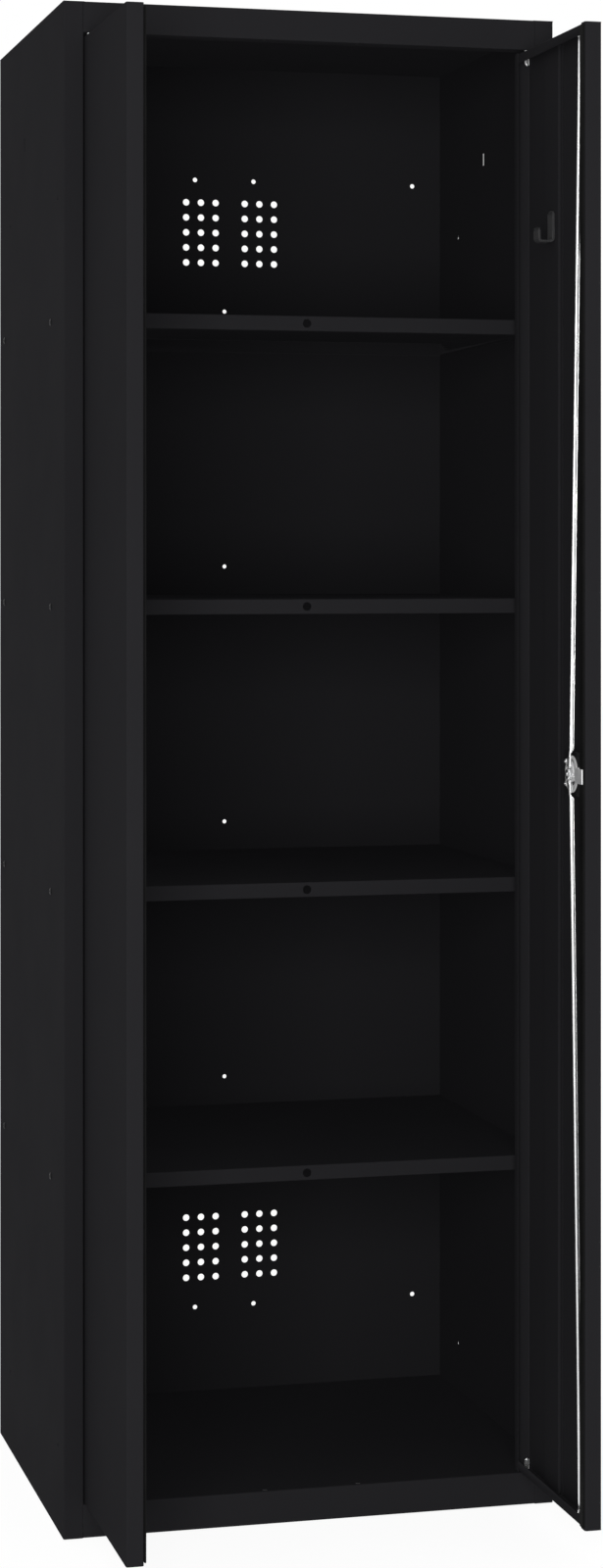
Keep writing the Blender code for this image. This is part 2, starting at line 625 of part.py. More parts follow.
def make_lock_drive(steel, zinc, axis):
    """The key plug, the scroll cam that it turns and the nut that holds the cam."""
    face = depth_to_local(-PLUG_PROUD)
    shoulder = depth_to_local(CAM_FRONT - FIT)
    tail_end = depth_to_local(CAM_BACK + FIT)
    seat = tail_end + FIT
    nut_end = seat + NUT_H
    stud_end = nut_end + STUD_BEYOND
    plug, tail, thread = PLUG_D / 2, TAIL_D / 2, THREAD_D / 2
    plug_piece = make_turned("lock_plug", "Y", (0.0, 0.0, 0.0),
                             [(0.0, face), (plug, face), (plug, shoulder), (tail, shoulder),
                              (tail, tail_end), (thread, tail_end), (thread, stud_end), (0.0, stud_end)],
                             zinc, axis)
    keyway = box((-KEYWAY_W / 2, KEYWAY_W / 2), (face - SHEET, face + KEYWAY_DEPTH),
                 (-KEYWAY_H / 2, KEYWAY_H / 2))
    combine(plug_piece, [keyway], "DIFFERENCE")
    front, back = depth_to_local(CAM_FRONT), depth_to_local(CAM_BACK)
    through = (front - SHEET, back + SHEET)
    leads = {"upper_rod": 90.0, "tongue": 180.0, "lower_rod": 270.0}
    cuts = [("Y", spiral_slot(lead), *through) for lead in leads.values()]
    cuts.append(disc("Y", (0.0, 0.0), TAIL_D + 2 * FIT, *through, ROUND_SIDES))
    make_piece("lock_cam", disc("Y", (0.0, 0.0), CAM_D, front, back, CAM_SIDES), steel, axis, cut=cuts)
    bore = disc("Y", (0.0, 0.0), THREAD_D + 2 * FIT, seat - SHEET, nut_end + SHEET)
    make_piece("cam_nut", disc("Y", (0.0, 0.0), NUT_D, seat, nut_end, NUT_SIDES), zinc, axis, cut=[bore])


def make_tongue(steel, pivot):
    """The sliding tongue between case and cam, drawn back at rest, with its pin in the cam's slot.

    It is cranked past the cam's rim, so that its tip slides behind both doors' rims and strips.
    """
    front, tip = depth_to_local(TONGUE_FRONT), depth_to_local(TIP_FRONT)
    path = [(-FREE_EDGE - TONGUE_PROUD, tip), (-LOCK_X - CRANK_END, tip), (-LOCK_X - CRANK_START, front),
            (-LOCK_X - TONGUE_ROOT, front)]
    plate = ("Z", fold_outline(path, TONGUE_THICK, TONGUE_BEND), LOCK_Z - TONGUE_H / 2,
             LOCK_Z + TONGUE_H / 2)
    pin = disc("Y", (-LOCK_X - CAM_PIN_START, LOCK_Z), CAM_PIN_D, front + TONGUE_THICK / 2,
               depth_to_local(CAM_BACK + CAM_PIN_BEYOND))
    make_piece("lock_tongue", plate, steel, pivot, add=[pin])


def make_rod(name, direction, zinc, pivot):
    """A round lock rod from its flange guide, cranked over the cam's face to a pin in the cam's slot."""
    tip_z = RAIL_Z - ROD_TIP_CLEAR if direction > 0 else PLINTH_H + ROD_TIP_CLEAR
    pin_z = LOCK_Z + direction * CAM_PIN_START
    bend_z = pin_z + direction * ROD_BEND
    crank_z = LOCK_Z + direction * ROD_CRANK_FROM_LOCK
    slim = CAM_PIN_D / ROD_D
    route = [(ROD_END_DEPTH, tip_z, ROD_TIP_D / ROD_D),
             (ROD_END_DEPTH, tip_z - direction * ROD_BEND / 2, 1.0),
             (ROD_LOCK_DEPTH, crank_z, 1.0),
             (ROD_HOOK_DEPTH, crank_z - direction * ROD_CRANK_RUN, slim),
             (ROD_HOOK_DEPTH, bend_z, slim)]
    for step in range(1, BEND_STEPS + 1):
        turn = math.pi / 2 * step / BEND_STEPS
        route.append((ROD_HOOK_DEPTH - ROD_BEND * (1 - math.cos(turn)),
                      bend_z - direction * ROD_BEND * math.sin(turn), slim))
    route.append((CAM_FRONT - CAM_PIN_BEYOND, pin_z, slim))
    curve = bpy.data.curves.new(name, "CURVE")
    curve.dimensions = "3D"
    curve.bevel_depth = ROD_D / 2 * MM
    curve.bevel_resolution = ROD_ROUNDNESS
    curve.use_fill_caps = True
    spline = curve.splines.new("POLY")
    spline.points.add(len(route) - 1)
    for point, (depth, z, radius) in zip(spline.points, route):
        point.co = (*(Vector((-LOCK_X, depth_to_local(depth), z)) * MM), 1.0)
        point.radius = radius
    curve.materials.append(zinc)
    rod = bpy.data.objects.new(name, curve)
    rod.parent = pivot
    bpy.context.collection.objects.link(rod)


def make_rod_guide(name, direction, zinc, pivot):
    """The bush that leads a rod through the door's end flange."""
    seat = (DOOR_TOP if direction > 0 else DOOR_BASE) - direction * (SHEET + FIT)
    low, high = sorted((seat, seat - direction * GUIDE_H))
    bore, rim = ROD_D / 2 + ROD_PLAY, GUIDE_D / 2
    make_turned(name, "Z", (-LOCK_X, depth_to_local(ROD_END_DEPTH), 0.0),
                [(bore, low), (rim, low), (rim, high), (bore, high)], zinc, pivot, sides=HOLE_SIDES)


def main():
    clear_scene()
    black = make_material("black_powder_coat", (0.012, 0.012, 0.013), 0.45, 0.0)
    black_screw = make_material("black_screw", (0.02, 0.02, 0.021), 0.4, 0.0)
    zinc = make_material("bright_zinc", (0.72, 0.72, 0.71), 0.3, 1.0)
    steel = make_material("plain_steel", (0.45, 0.45, 0.45), 0.4, 1.0)
    rubber = make_material("black_rubber", (0.008, 0.008, 0.008), 0.8, 0.0)
    cast = make_material("dark_casting", (0.015, 0.015, 0.016), 0.6, 0.0)
    dark_steel = make_material("dark_steel", (0.03, 0.03, 0.032), 0.3, 0.0)
    cabinet = make_empty("cabinet_frame", (0.0, FRONT_Y, 0.0), 0.0, None)
    make_wall("left_wall", -1, black, cabinet)
    make_wall("right_wall", 1, black, cabinet)
    make_back("back_left", -1, black, cabinet)
    make_back("back_right", 1, black, cabinet)
    make_top(black, cabinet)
    make_floor(black, cabinet)
    for number, top in enumerate(SHELF_TOPS, start=1):
        make_shelf(number, top, black, cabinet)
        make_shelf_screws(number, top, black_screw, cabinet)
    pivots = {}
    for side, side_name in ((-1, "left"), (1, "right")):
        make_hinge_pins(side, side_name, zinc, cabinet)
        pivot = make_empty(f"{side_name}_pivot", (side * PIVOT_X, PIVOT_Y, 0.0), side * DOOR_OPEN,
                           cabinet)
        make_door(side, side_name, black, pivot)
        make_door_strip(side, side_name, rubber, pivot)
        make_stiffener(side, side_name, black, pivot)
        pivots[side_name] = pivot
    right = pivots["right"]
    make_hook(dark_steel, right)
    make_lock_case(cast, zinc, right)
    make_lock_rose(zinc, right)
    lock_axis = make_empty("lock_axis", (-LOCK_X, 0.0, LOCK_Z), 0.0, right)
    make_lock_drive(steel, zinc, lock_axis)
    make_tongue(steel, right)
    for name, direction in (("upper", 1), ("lower", -1)):
        make_rod(f"{name}_rod", direction, zinc, right)
        make_rod_guide(f"{name}_rod_guide", direction, zinc, right)


main()
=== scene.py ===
"""Looks of the black steel storage cabinet: finishes, fine fittings, studio light and camera."""
import json
import math

import bmesh
import bpy
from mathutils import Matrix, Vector

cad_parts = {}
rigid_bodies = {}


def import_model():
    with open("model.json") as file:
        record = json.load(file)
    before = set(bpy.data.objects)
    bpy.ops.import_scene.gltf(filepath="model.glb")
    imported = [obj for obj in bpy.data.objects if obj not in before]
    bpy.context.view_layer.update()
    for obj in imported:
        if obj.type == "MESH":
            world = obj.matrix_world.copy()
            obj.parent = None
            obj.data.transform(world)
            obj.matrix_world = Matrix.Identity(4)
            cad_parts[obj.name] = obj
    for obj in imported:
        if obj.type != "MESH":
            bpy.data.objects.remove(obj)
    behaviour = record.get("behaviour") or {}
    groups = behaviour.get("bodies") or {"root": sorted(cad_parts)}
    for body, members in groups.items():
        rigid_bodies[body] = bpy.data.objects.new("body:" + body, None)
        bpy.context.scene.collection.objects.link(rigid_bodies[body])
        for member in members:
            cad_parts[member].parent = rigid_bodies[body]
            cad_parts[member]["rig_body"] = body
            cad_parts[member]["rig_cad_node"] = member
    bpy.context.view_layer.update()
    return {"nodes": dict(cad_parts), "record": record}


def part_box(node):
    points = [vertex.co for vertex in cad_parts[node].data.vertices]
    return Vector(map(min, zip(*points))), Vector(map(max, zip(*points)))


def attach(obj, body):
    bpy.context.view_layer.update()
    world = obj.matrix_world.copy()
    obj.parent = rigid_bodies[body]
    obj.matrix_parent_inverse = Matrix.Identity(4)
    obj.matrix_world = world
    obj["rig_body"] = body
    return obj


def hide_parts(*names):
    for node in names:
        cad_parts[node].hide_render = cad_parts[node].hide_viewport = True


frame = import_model()

MM = 0.001
SLOT_OF = {entry["node"]: entry["material_slot"] for entry in frame["record"]["subparts"]}

# Photograph's view: a level camera left of the cabinet, with the frame shifted to fit it
PHOTO_W = 615
PHOTO_H = 1600
FOCAL_PX = 3454.7
CENTRE_PX = (400.0, 562.24)
CAMERA_PLACE = (-0.9594, -4.0406, 1.1562)
CAMERA_YAW = 15.085
SENSOR = 36.0

# Studio light
FILL = 0.3
KEY_PLACE = (-1.3, -4.4, 1.2)
KEY_AIM = (0.0, 0.0, 0.9)
KEY_SIZE = (2.0, 2.0)
KEY_POWER = 80.0
SIDE_FILL = 0.25
TOP_FILL = 0.3
LOW_FILL = 0.36
RIGHT_FILL = 0.6
BACK_FILL = 0.6
FLOOR_GLOW = 0.88
FLOOR_SEEN = 0.3
FLOOR_BOUNCE = 0.9
FLOOR_SIZE = 40.0
FLOOR_DROP = 0.5 * MM
FLOOR_ROUGHNESS = 0.9
# Painted shadow: the grey of the block laid under the cabinet, standing in for its shadow there
FLOOR_PAINTED_SHADOW = (0.35, 0.35, 0.35)
SHADE_INSET = 3.0 * MM
SHADE_DROP = 0.2 * MM
SHADE_THICK = 0.2 * MM

# Finishes: noise scales are counts for a metre, and a spread is what the roughness varies by
NOISE_LOW = 0.3
NOISE_HIGH = 0.7
COAT_DRIFT_SCALE = 2.2
COAT_PEEL_SCALE = 420.0
COAT_GRAIN_SCALE = 1500.0
COAT_GRAIN_SHARE = 0.35
COAT_BUMP = 0.2
COAT_PEEL_DEPTH = 0.1 * MM
COAT_RUB_SCALE = 14.0
COAT_RUB_SPREAD = 0.03
STEEL_CLOUD_SCALE = 60.0
STEEL_SPREAD = (-0.05, 0.07)
STEEL_BUMP = 0.05
STEEL_LINE_DEPTH = 0.05 * MM
MATT_DRIFT_SCALE = 25.0
MATT_BUMP = 0.3
MATT_SPREAD = 0.05
MATT_GLOSS = 0.08

# Sheet joints: how far the welded sheets are drawn over their fitting gaps
WELD_GAP = 0.3 * MM
BACK_GAP = 0.6 * MM
PICK_NEAR = 0.05 * MM
MERGE_NEAR = 0.002 * MM
SMOOTH_ANGLE = 35.0
FLAT_ANGLE = 1.0

# Round shapes
ROUND_SIDES = 32
DOME_STEPS = 5
DOME_FLAT = 0.4
EDGE_SOFT = 0.3 * MM

# Screws, with shares of the shank's and the head's own sizes
SHELF_SCREW_SHANK_R = 2.0 * MM
SHELF_SCREW_HEAD = (4.0 * MM, 1.5 * MM)
CASE_SCREW_SHANK_R = 1.5 * MM
CASE_SCREW_HEAD = (3.25 * MM, 2.2 * MM)
SCREW_POINT = 0.6
SCREW_TAPER_FROM = 0.85
SCREW_SEAT = 0.97
SCREW_HEAD_RIM = 0.1
SCREW_CROWN = 0.2
RECESS_LONG = 1.1
RECESS_WIDE = 0.24
RECESS_FLOOR = 0.35
RECESS_ABOVE = 2.0

# Hinge pins, bushes and closing strips
PIN_R = 3.0 * MM
PIN_TIP_H = 2.0 * MM
PIN_HEAD_H = 3.0 * MM
PIN_HEAD_EDGE = 0.8 * MM
BUSH_BORE_R = 3.3 * MM
BUSH_EDGE = 0.5 * MM
STRIP_ROUND = 0.8 * MM
STRIP_STEPS = 3

# Coat hook
HOOK_THICK = 2.5 * MM
HOOK_BEND = 5.0 * MM
HOOK_BEND_STEPS = 6
HOOK_TIP_H = 17.0 * MM
HOOK_CORNER = 4.0 * MM
HOOK_CORNER_STEPS = 5
HOOK_EDGE = 0.7 * MM
HOOK_EDGE_STEPS = 3

# Lock rods and their guides; the guide's profile and the rod's end are shares of their own sizes
ROD_R = 2.75 * MM
ROD_TIP_LENGTH = 12.0 * MM
ROD_BLADE_FROM_LOCK = 28.25 * MM
ROD_BLADE_START = 5.0 * MM
ROD_BLADE_LIFT = 0.5 * MM
ROD_BLADE_HALF = 3.2 * MM
ROD_BLADE_THICK = 2.4 * MM
ROD_END_ROUNDING = ((0.5, 0.87), (0.3, 0.69), (0.15, 0.52))
ROD_PIN_R = 1.9 * MM
ROD_PIN_HEAD_R = 2.6 * MM
ROD_PIN_HEAD_H = 1.2 * MM
ROD_PIN_RIM_H = 0.5 * MM
ROD_PIN_CROWN = 0.6
ROD_PIN_FROM_LOCK = 9.5 * MM
ROD_PIN_BEYOND = 1.2 * MM
GUIDE_BORE_R = 3.25 * MM
GUIDE_PROFILE = ((0.78, 0.0), (0.84, 0.1), (0.92, 0.66), (1.0, 0.72), (1.0, 0.95), (0.96, 1.0))

# Lock case, tongue, nut, key plug and rose
CASE_SOFT = 1.0 * MM
TONGUE_THICK = 2.0 * MM
TONGUE_LEAD = 1.4 * MM
NUT_SIDES = 6
NUT_BORE_R = 3.3 * MM
NUT_CHAMFER = 0.8 * MM
NUT_CHAMFER_H = 0.45 * NUT_CHAMFER
PLUG_R = 6.0 * MM
PLUG_EDGE = 0.6 * MM
PLUG_PLAY = 0.3 * MM
PLUG_TAIL_R = 4.0 * MM
THREAD_R = 3.0 * MM
THREAD_PITCH = 1.0 * MM
THREAD_GROOVE = 0.25 * MM
THREAD_END = 0.5 * MM
KEYWAY = (2.0 * MM, 8.0 * MM, 4.0 * MM)
ROSE_SIDES = 64
ROSE_RIM_H = 0.4
ROSE_SHOULDER = (0.6 * MM, 0.7)
ROSE_CROWN_INSET = 2.0 * MM
ROSE_BORE_EDGE = (1.0 * MM, 0.8)


def add_camera():
    """A level camera with the photograph's focal length and frame shift."""
    bpy.ops.object.camera_add(location=CAMERA_PLACE)
    camera = bpy.context.object
    camera.name = "photo_camera"
    camera.rotation_euler = (math.radians(90.0), 0.0, math.radians(-CAMERA_YAW))
    camera.data.sensor_fit = "VERTICAL"
    camera.data.sensor_height = SENSOR
    camera.data.lens = FOCAL_PX / PHOTO_H * SENSOR
    camera.data.shift_x = (PHOTO_W / 2 - CENTRE_PX[0]) / PHOTO_H
    camera.data.shift_y = (CENTRE_PX[1] - PHOTO_H / 2) / PHOTO_H
    bpy.context.scene.camera = camera


def new_material(name):
    """A node material with its shader and Object coordinates."""
    material = bpy.data.materials.new(name)
    material.use_nodes = True
    nodes = material.node_tree.nodes
    shader = nodes["Principled BSDF"]
    place = nodes.new("ShaderNodeTexCoord").outputs["Object"]
    return material, nodes, material.node_tree.links, shader, place


def add_noise(nodes, links, vector, scale, detail=2.0, stretch=None):
    """A noise texture on a vector, optionally stretched along its axes."""
    if stretch:
        mapping = nodes.new("ShaderNodeMapping")
        mapping.inputs["Scale"].default_value = stretch
        links.new(vector, mapping.inputs["Vector"])
        vector = mapping.outputs["Vector"]
    noise = nodes.new("ShaderNodeTexNoise")
    noise.inputs["Scale"].default_value = scale
    noise.inputs["Detail"].default_value = detail
    links.new(vector, noise.inputs["Vector"])
    return noise.outputs["Fac"]


def add_range(nodes, links, value, low, high):
    """Map a noise value to a range."""
    node = nodes.new("ShaderNodeMapRange")
    node.inputs["From Min"].default_value = NOISE_LOW
    node.inputs["From Max"].default_value = NOISE_HIGH
    node.inputs["To Min"].default_value = low
    node.inputs["To Max"].default_value = high
    links.new(value, node.inputs["Value"])
    return node.outputs["Result"]


def add_tint(nodes, links, value, dark, light):
    """Blend two colours by a noise value."""
    ramp = nodes.new("ShaderNodeValToRGB")
    ramp.color_ramp.elements[0].position = NOISE_LOW
    ramp.color_ramp.elements[0].color = (*dark, 1.0)
    ramp.color_ramp.elements[1].position = NOISE_HIGH
    ramp.color_ramp.elements[1].color = (*light, 1.0)
    links.new(value, ramp.inputs["Fac"])
    return ramp.outputs["Color"]


def add_bump(nodes, links, shader, height, strength, distance):
    bump = nodes.new("ShaderNodeBump")
    bump.inputs["Strength"].default_value = strength
    bump.inputs["Distance"].default_value = distance
    links.new(height, bump.inputs["Height"])
    links.new(bump.outputs["Normal"], shader.inputs["Normal"])


def powder_coat(name, dark, light, roughness, gloss):
    """Satin black powder coat: orange peel, a finer grain and a slow drift of tone."""
    material, nodes, links, shader, place = new_material(name)
    drift = add_noise(nodes, links, place, COAT_DRIFT_SCALE, detail=3.0)
    links.new(add_tint(nodes, links, drift, dark, light), shader.inputs["Base Color"])
    peel = add_noise(nodes, links, place, COAT_PEEL_SCALE)
    grain = add_noise(nodes, links, place, COAT_GRAIN_SCALE, detail=1.0)
    mix = nodes.new("ShaderNodeMath")
    mix.operation = "MULTIPLY_ADD"
    mix.inputs[1].default_value = COAT_GRAIN_SHARE
    links.new(grain, mix.inputs[0])
    links.new(peel, mix.inputs[2])
    add_bump(nodes, links, shader, mix.outputs["Value"], COAT_BUMP, COAT_PEEL_DEPTH)
    rub = add_noise(nodes, links, place, COAT_RUB_SCALE, detail=4.0)
    rubbed = add_range(nodes, links, rub, roughness - COAT_RUB_SPREAD, roughness + COAT_RUB_SPREAD)
    links.new(rubbed, shader.inputs["Roughness"])
    shader.inputs["Specular IOR Level"].default_value = gloss
    return material


def plated_steel(name, dark, light, roughness, streak):
    """Plated steel with fine drawn lines; streak stretches them along one axis."""
    material, nodes, links, shader, place = new_material(name)
    cloud = add_noise(nodes, links, place, STEEL_CLOUD_SCALE, detail=3.0)
    links.new(add_tint(nodes, links, cloud, dark, light), shader.inputs["Base Color"])
    lines = add_noise(nodes, links, place, 1.0, stretch=streak)
    drawn = add_range(nodes, links, lines, roughness + STEEL_SPREAD[0], roughness + STEEL_SPREAD[1])
    links.new(drawn, shader.inputs["Roughness"])
    add_bump(nodes, links, shader, lines, STEEL_BUMP, STEEL_LINE_DEPTH)
    shader.inputs["Metallic"].default_value = 1.0
    return material


def matt_black(name, dark, light, roughness, grain_scale, depth):
    """Matt black rubber or rough casting: a coarse grain over a dark, uneven tone."""
    material, nodes, links, shader, place = new_material(name)
    drift = add_noise(nodes, links, place, MATT_DRIFT_SCALE, detail=3.0)
    links.new(add_tint(nodes, links, drift, dark, light), shader.inputs["Base Color"])
    grain = add_noise(nodes, links, place, grain_scale, detail=3.0)
    add_bump(nodes, links, shader, grain, MATT_BUMP, depth)
    rough = add_range(nodes, links, grain, roughness - MATT_SPREAD, roughness + MATT_SPREAD)
    links.new(rough, shader.inputs["Roughness"])
    shader.inputs["Specular IOR Level"].default_value = MATT_GLOSS
    return material


FINISHES = {
    "black_powder_coat": powder_coat("black_powder_coat", (0.0247, 0.0243, 0.0268),
                                     (0.0267, 0.0263, 0.0288), roughness=0.5, gloss=0.0004),
    "black_screw": powder_coat("black_screw", (0.011, 0.011, 0.012), (0.015, 0.015, 0.016),
                               roughness=0.4, gloss=0.1),
    "bright_zinc": plated_steel("bright_zinc", (0.74, 0.75, 0.76), (0.84, 0.84, 0.84),
                                roughness=0.28, streak=(3000.0, 3000.0, 30.0)),
    "plain_steel": plated_steel("plain_steel", (0.74, 0.74, 0.75), (0.84, 0.84, 0.84),
                                roughness=0.62, streak=(60.0, 2500.0, 60.0)),
    # Near-black: on the closing strips this colour is painted shade for the dark band along the doors' free
    # edges
    "black_rubber": matt_black("black_rubber", (0.004, 0.004, 0.004), (0.007, 0.007, 0.007),
                               roughness=0.75, grain_scale=900.0, depth=0.2 * MM),
    "dark_casting": matt_black("dark_casting", (0.008, 0.008, 0.009), (0.013, 0.013, 0.014),
                               roughness=0.6, grain_scale=700.0, depth=0.4 * MM),
    "dark_steel": powder_coat("dark_steel", (0.046, 0.046, 0.048), (0.056, 0.056, 0.058),
                              roughness=0.3, gloss=0.4),
}


def clear_selection():
    bpy.ops.object.select_all(action="DESELECT")


def make_active(piece):
    """Select one piece alone."""
    clear_selection()
    piece.select_set(True)
    bpy.context.view_layer.objects.active = piece


def settle(name):
    """Name the active object and put its place into its mesh."""
    piece = bpy.context.object
    piece.name = name
    piece.data.name = name
    bpy.ops.object.transform_apply(location=True, rotation=True, scale=True)
    return piece


def edit(piece):
    make_active(piece)
    bpy.ops.object.mode_set(mode="EDIT")


def end_edit():
    bpy.ops.object.mode_set(mode="OBJECT")


def pick(piece, kind, test):
    """In edit mode, select the vertices, edges or faces whose corners all pass a test."""
    bpy.ops.mesh.select_mode(type=kind)
    bpy.ops.mesh.select_all(action="DESELECT")
    shape = bmesh.from_edit_mesh(piece.data)
    items = {"VERT": shape.verts, "EDGE": shape.edges, "FACE": shape.faces}[kind]
    for item in items:
        corners = [item] if kind == "VERT" else item.verts
        item.select_set(all(test(corner.co) for corner in corners))
    shape.select_flush_mode()
    bmesh.update_edit_mesh(piece.data)


def near(value, target):
    return abs(value - target) < PICK_NEAR


def extrude(move):
    bpy.ops.mesh.extrude_region_move(TRANSFORM_OT_translate={"value": tuple(move)})


def shift(piece, kind, test, move):
    """Move a part of a piece."""
    edit(piece)
    pick(piece, kind, test)
    bpy.ops.transform.translate(value=tuple(move))
    end_edit()


def tidy_shell(piece):
    """Merge doubles, close open ends and point the faces outwards."""
    edit(piece)
    bpy.ops.mesh.select_all(action="SELECT")
    bpy.ops.mesh.remove_doubles(threshold=MERGE_NEAR)
    bpy.ops.mesh.fill_holes(sides=0)
    bpy.ops.mesh.select_all(action="SELECT")
    bpy.ops.mesh.normals_make_consistent(inside=False)
    end_edit()


def apply_modifier(piece, kind, **settings):
    make_active(piece)
    modifier = piece.modifiers.new(kind.title(), kind)
    for key, value in settings.items():
        setattr(modifier, key, value)
    bpy.ops.object.modifier_apply(modifier=modifier.name)


def soften(piece, width, segments=2):
    """Round the sharp edges a little."""
    apply_modifier(piece, "BEVEL", width=width, segments=segments, limit_method="ANGLE",
                   angle_limit=math.radians(SMOOTH_ANGLE))


def smooth(piece):
    """Shade round faces smooth and keep flat faces flat."""
    make_active(piece)
    bpy.ops.object.shade_smooth_by_angle(angle=math.radians(SMOOTH_ANGLE))
    apply_modifier(piece, "WEIGHTED_NORMAL", keep_sharp=True)


def combine(piece, tool, operation):
    """Cut a tool out of a piece, or keep what they share, and remove the tool."""
    apply_modifier(piece, "BOOLEAN", operation=operation, solver="EXACT", object=tool)
    bpy.data.objects.remove(tool, do_unlink=True)


def join(piece, other):
    make_active(piece)
    other.select_set(True)
    bpy.ops.object.join()


def copy_of(template, name):
    """A copy of a piece with its own mesh."""
    make_active(template)
    bpy.ops.object.duplicate(linked=False)
    copy = bpy.context.object
    copy.name = name
    copy.data.name = name
    return copy


def put(piece, direction, spot):
    """Turn a piece made along +Z to a direction, move it to its place and apply both."""
    make_active(piece)
    piece.rotation_euler = Vector(direction).to_track_quat("Z", "Y").to_euler()
    piece.location = spot
    bpy.ops.object.transform_apply(location=True, rotation=True, scale=True)
    return piece


def add_block(name, low, high):
    clear_selection()
    bpy.ops.mesh.primitive_cube_add(size=1.0, location=(Vector(low) + Vector(high)) / 2)
    bpy.context.object.scale = Vector(high) - Vector(low)
    return settle(name)


def add_bar(name, radius, height, sides):
    """A round or many-sided bar standing on the origin along +Z."""
    clear_selection()
    bpy.ops.mesh.primitive_cylinder_add(vertices=sides, radius=radius, depth=height,
                                        location=(0.0, 0.0, height / 2))
    return settle(name)


def lathe(name, profile, sides=ROUND_SIDES):
    """Turn a (radius, height) profile round Z: a ring is drawn along it and its open ends are closed."""
    clear_selection()
    radius, height = profile[0]
    bpy.ops.mesh.primitive_circle_add(vertices=sides, radius=radius, location=(0.0, 0.0, height))
    piece = settle(name)
    edit(piece)
    bpy.ops.mesh.select_mode(type="EDGE")
    bpy.ops.mesh.select_all(action="SELECT")
    for next_radius, next_height in profile[1:]:
        extrude((0.0, 0.0, next_height - height))
        grow = next_radius / radius
        bpy.ops.transform.resize(value=(grow, grow, 1.0), center_override=(0.0, 0.0, next_height))
        radius, height = next_radius, next_height
    end_edit()
    tidy_shell(piece)
    return piece


def dome(radius, height, base):
    """Profile of a round head, from its rim to a small flat at its crown."""
    turns = [math.pi / 2 * step / (DOME_STEPS + DOME_FLAT) for step in range(DOME_STEPS + 1)]
    return [(radius * math.cos(turn), base + height * math.sin(turn)) for turn in turns]


def stand_for(piece, node):
    """Let a finished piece stand for a solid, with its slot's finish and its body."""
    slot = SLOT_OF[node]
    piece.name = f"fine_{node}"
    piece.data.name = piece.name
    piece.data.materials.clear()
    piece.data.materials.append(FINISHES[slot])
    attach(piece, frame["nodes"][node]["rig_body"])
    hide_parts(node)


def merged_copy(node, whole_faces=False):
    """A copy of a solid with its loose triangles merged, and its flat faces made whole if asked."""
    piece = copy_of(frame["nodes"][node], f"fine_{node}")
    del piece["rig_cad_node"]
    edit(piece)
    bpy.ops.mesh.select_all(action="SELECT")
    bpy.ops.mesh.remove_doubles(threshold=MERGE_NEAR)
    if whole_faces:
        bpy.ops.mesh.dissolve_limited(angle_limit=math.radians(FLAT_ANGLE))
    end_edit()
    return piece


def dress_sheets():
    """Folded sheets with smooth bends; welded joints are drawn closed over their fitting gaps."""
    plain = ["shelf_1", "shelf_2", "shelf_3", "shelf_4", "left_door", "right_door", "left_door_stiffener",
             "right_door_stiffener"]
    for node in plain:
        piece = merged_copy(node)
        smooth(piece)
        stand_for(piece, node)
    for node, gap in (("left_wall", WELD_GAP), ("right_wall", WELD_GAP), ("back_left", BACK_GAP),
                      ("back_right", BACK_GAP)):
        piece = merged_copy(node)
        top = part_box(node)[1].z
        shift(piece, "VERT", lambda place: near(place.z, top), (0.0, 0.0, gap))
        smooth(piece)
        stand_for(piece, node)
    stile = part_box("right_wall")[0].x
    for node in ("top_panel", "floor_panel"):
        piece = merged_copy(node)
        for side in (-1, 1):
            end = side * (stile - WELD_GAP)
            shift(piece, "VERT", lambda place: near(place.x, end), (side * WELD_GAP, 0.0, 0.0))
        smooth(piece)
        stand_for(piece, node)


def add_tongue_lead(tongue):
    """A lead-in at the tongue's tip, on the side that slides behind the other door."""
    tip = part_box("lock_tongue")[0]
    edit(tongue)
    pick(tongue, "EDGE", lambda place: near(place.y, tip.y) and near(place.x, tip.x + TONGUE_THICK))
    bpy.ops.mesh.bevel(offset=TONGUE_LEAD, segments=1, affect="EDGES")
    end_edit()


def dress_lock_plates():
    """Stamped and cast lock parts with softened edges."""
    for node, width in (("lock_cam", EDGE_SOFT), ("lock_tongue", EDGE_SOFT), ("lock_case", CASE_SOFT)):
        piece = merged_copy(node, whole_faces=True)
        if node == "lock_tongue":
            add_tongue_lead(piece)
        soften(piece, width)
        smooth(piece)
        stand_for(piece, node)


def make_screw(name, shank_r, head, length):
    """A round-headed screw with a cross recess, its head's seat at the origin and its crown up."""
    head_r, head_h = head
    shank = [(SCREW_POINT * shank_r, -length), (shank_r, -SCREW_TAPER_FROM * length), (shank_r, 0.0)]
    cap = [(SCREW_SEAT * head_r, 0.0)] + dome(head_r, head_h, SCREW_HEAD_RIM * head_h)[:-1]
    screw = lathe(name, shank + cap + [(SCREW_CROWN * head_r, head_h)])
    reach = head_r / 2
    for wide, deep in ((RECESS_LONG, RECESS_WIDE), (RECESS_WIDE, RECESS_LONG)):
        slot = add_block("screw_recess", (-wide * reach, -deep * reach, RECESS_FLOOR * head_h),
                         (wide * reach, deep * reach, RECESS_ABOVE * head_h))
        combine(screw, slot, "DIFFERENCE")
    smooth(screw)
    return screw


def place_copies(template, places):
    """Put a copy of a finished template at each node's direction and spot, then remove the template."""
    for node, direction, spot in places:
        piece = copy_of(template, node + "_copy")
        put(piece, direction, spot)
        stand_for(piece, node)
    bpy.data.objects.remove(template, do_unlink=True)


def upright_places(nodes, up):
    """Places on the nodes' own axes along Z, from the lower end upwards or from the upper end downwards."""
    places = []
    for node in nodes:
        low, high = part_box(node)
        middle = (low + high) / 2
        places.append((node, (0.0, 0.0, up), (middle.x, middle.y, low.z if up > 0 else high.z)))
    return places


